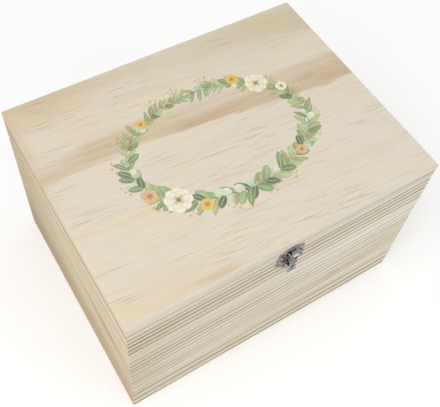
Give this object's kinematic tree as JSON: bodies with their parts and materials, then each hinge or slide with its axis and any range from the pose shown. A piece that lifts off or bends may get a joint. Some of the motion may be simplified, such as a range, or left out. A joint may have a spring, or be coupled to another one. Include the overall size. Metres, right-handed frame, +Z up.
{
  "type": "keepsake box",
  "caption": "Rectangular pine keepsake box with a hinged lid, a pierced metal clasp on the front and a printed plant border on top.",
  "frame": {"origin": "centre of the box's underside, on the plane it stands on", "axes": "+X along the front to the right, +Y from the front to the back, +Z up"},
  "size_m": [0.4, 0.315, 0.242],
  "materials": {
    "pine_front": "sanded, unfinished, straight grain",
    "pine_end": "sanded, unfinished, tan heartwood",
    "pine_top": "sanded, unfinished, flat-sawn grain with a printed border",
    "plywood": "raw plywood",
    "hinge_steel": "antiqued silver plate",
    "screw_steel": "zinc-plated",
    "antique_silver": "antiqued silver plate with dark recesses",
    "nail_steel": "darkened silver plate"
  },
  "bodies": {
    "box": {"body_front_board": "pine_front", "body_back_board": "pine_front", "body_left_board": "pine_end", "body_right_board": "pine_end", "base_panel": "plywood", "left_hinge_body_leaf": "hinge_steel", "left_hinge_pin": "screw_steel", "right_hinge_body_leaf": "hinge_steel", "right_hinge_pin": "screw_steel", "hinge_body_screws": "screw_steel", "clasp_catch_plate": "antique_silver", "clasp_catch_nails": "nail_steel"},
    "lid": {"lid_front_board": "pine_front", "lid_back_board": "pine_front", "lid_left_board": "pine_end", "lid_right_board": "pine_end", "lid_top_board": "pine_top", "left_hinge_lid_leaf": "hinge_steel", "right_hinge_lid_leaf": "hinge_steel", "hinge_lid_screws": "screw_steel", "clasp_lid_plate": "antique_silver", "clasp_pin": "nail_steel", "clasp_lid_nails": "nail_steel"},
    "hasp": {"clasp_hasp": "antique_silver"}
  },
  "joints": [
    {"name": "lid_hinge", "type": "hinge", "parent": "box", "child": "lid", "pos_m": [0, 0.149, 0.197], "axis": [-1, 0, 0], "range_deg": [0, 100]},
    {"name": "hasp_pivot", "type": "hinge", "parent": "lid", "child": "hasp", "pos_m": [-0.003, -0.1557, 0.223], "axis": [-1, 0, 0], "range_deg": [0, 90]}
  ]
}
